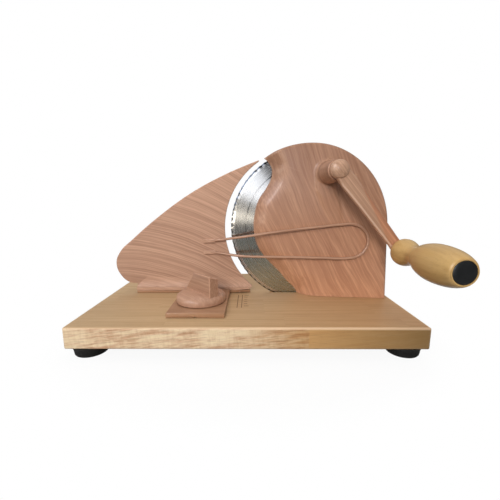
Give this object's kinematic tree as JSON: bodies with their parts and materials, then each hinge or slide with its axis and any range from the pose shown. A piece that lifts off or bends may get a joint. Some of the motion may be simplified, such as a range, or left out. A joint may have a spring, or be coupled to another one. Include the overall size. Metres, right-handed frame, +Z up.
{
  "type": "hand crank bread slicer",
  "caption": "Wooden board on rubber feet with a geared round blade in a moulded housing, a side crank with a turned grip, and a sliding thickness fence with a clamp knob.",
  "frame": {"origin": "middle of the bounding box at the crank's stored angle, on the table under the feet", "axes": "+X along the board toward the housing, +Y away from the user toward the loaf, +Z up"},
  "size_m": [0.355, 0.2542, 0.2168],
  "materials": {
    "board_wood": "oiled laminated hardwood, grain along X",
    "wood_print": "moulded, with a satin reddish wood-grain print",
    "turned_wood": "turned and waxed light wood",
    "blade_steel": "circularly brushed stainless steel",
    "zinc_steel": "zinc-plated",
    "brass": "plain turned brass",
    "gear_nylon": "natural nylon",
    "black_rubber": "matt",
    "black_plastic": "satin"
  },
  "bodies": {
    "board_and_housing": {"base_board": "board_wood", "foot_front_left": "black_rubber", "foot_front_right": "black_rubber", "foot_rear_left": "black_rubber", "foot_rear_right": "black_rubber", "foot_screw_1": "zinc_steel", "foot_screw_2": "zinc_steel", "foot_screw_3": "zinc_steel", "foot_screw_4": "zinc_steel", "gear_housing": "wood_print", "housing_screw_1": "zinc_steel", "housing_screw_2": "zinc_steel", "housing_screw_3": "zinc_steel", "blade_axle": "zinc_steel", "blade_retainer": "zinc_steel", "crank_bush_front": "brass", "crank_bush_rear": "brass"},
    "blade": {"blade_disc": "blade_steel", "blade_wheel": "gear_nylon", "blade_bush": "brass", "blade_rivet_1": "zinc_steel", "blade_rivet_2": "zinc_steel", "blade_rivet_3": "zinc_steel", "blade_rivet_4": "zinc_steel"},
    "crank": {"crank_shaft": "zinc_steel", "drive_pinion": "gear_nylon", "crank_nut": "zinc_steel", "crank_arm": "wood_print", "crank_cap": "wood_print", "handle_spindle": "zinc_steel", "handle_washer": "zinc_steel", "handle_nut": "zinc_steel"},
    "handle": {"handle_grip": "turned_wood", "handle_cap": "black_plastic"},
    "fence": {"fence_plate": "wood_print", "fence_carriage": "wood_print", "fence_screw_1": "zinc_steel", "fence_screw_2": "zinc_steel", "fence_screw_3": "zinc_steel", "wire_guard": "wood_print", "clamp_bolt": "zinc_steel", "clamp_washer": "zinc_steel"},
    "knob": {"thickness_knob": "wood_print", "knob_insert": "brass"}
  },
  "joints": [
    {"name": "crank_turn", "type": "hinge", "parent": "board_and_housing", "child": "crank", "pos_m": [0.09212, 0.03115, 0.18229], "axis": [0, 1, 0], "continuous": true},
    {"name": "blade_spin", "type": "hinge", "parent": "board_and_housing", "child": "blade", "pos_m": [0.07179, 0.03115, 0.1174], "axis": [0, 1, 0], "continuous": true},
    {"name": "handle_spin", "type": "hinge", "parent": "crank", "child": "handle", "pos_m": [0.16061, 0.03115, 0.09801], "axis": [0, 1, 0], "continuous": true},
    {"name": "fence_slide", "type": "slide", "parent": "board_and_housing", "child": "fence", "axis": [0, -1, 0], "range_m": [0, 0.015]},
    {"name": "knob_turn", "type": "hinge", "parent": "fence", "child": "knob", "pos_m": [-0.05531, -0.01585, 0], "axis": [0, 0, 1], "range_deg": [0, 180]}
  ],
  "couplings": [
    {"joint": "blade_spin", "follows": "crank_turn", "ratio": -0.33333}
  ]
}
